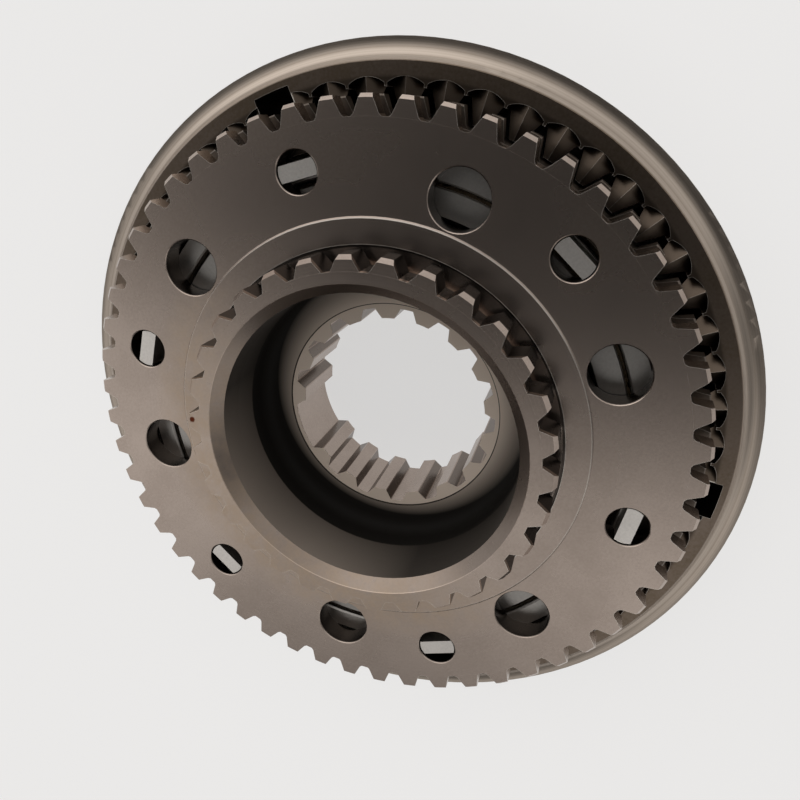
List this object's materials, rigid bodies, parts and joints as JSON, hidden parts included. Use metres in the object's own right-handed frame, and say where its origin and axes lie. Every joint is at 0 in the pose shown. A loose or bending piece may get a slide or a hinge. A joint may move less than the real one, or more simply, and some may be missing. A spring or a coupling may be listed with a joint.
{
  "type": "synchronizer gear",
  "caption": "Clutch body with splined hub and bore, nested friction cone rings with blocker teeth behind it, and a grooved sliding sleeve with pointed inner teeth.",
  "frame": {"origin": "on the turning axis, at the floor under the rear end of the clutch body and of the sleeve", "axes": "+Z along the turning axis, from the rear towards the splined front hub; +X through the middle of a tab hole that lies between two oil holes"},
  "size_m": [0.2572, 0.2572, 0.066],
  "materials": {
    "oiled_steel": "dark oiled steel, lightly rust-stained, bright worn edges",
    "ground_steel": "turned grey steel with an oil film",
    "ring_steel": "phosphated grey-brown steel",
    "friction_lining": "sintered bronze friction lining, dull and porous",
    "sleeve_steel": "dark oiled steel, turned"
  },
  "bodies": {
    "clutch": {"clutch_body": "oiled_steel", "double_cone_ring": "ground_steel"},
    "synchro_rings": {"outer_synchro_ring": "ring_steel", "inner_synchro_ring": "ground_steel", "outer_friction_lining": "friction_lining", "inner_friction_lining": "friction_lining"},
    "sleeve": {"sliding_sleeve": "sleeve_steel"}
  },
  "joints": [
    {"name": "ring_turn", "type": "hinge", "parent": "clutch", "child": "synchro_rings", "pos_m": [0, 0, 0.03], "axis": [0, 0, 1], "range_deg": [-180, 180]},
    {"name": "sleeve_slide", "type": "slide", "parent": "synchro_rings", "child": "sleeve", "axis": [0, 0, 1], "range_m": [0, 0.02]}
  ]
}
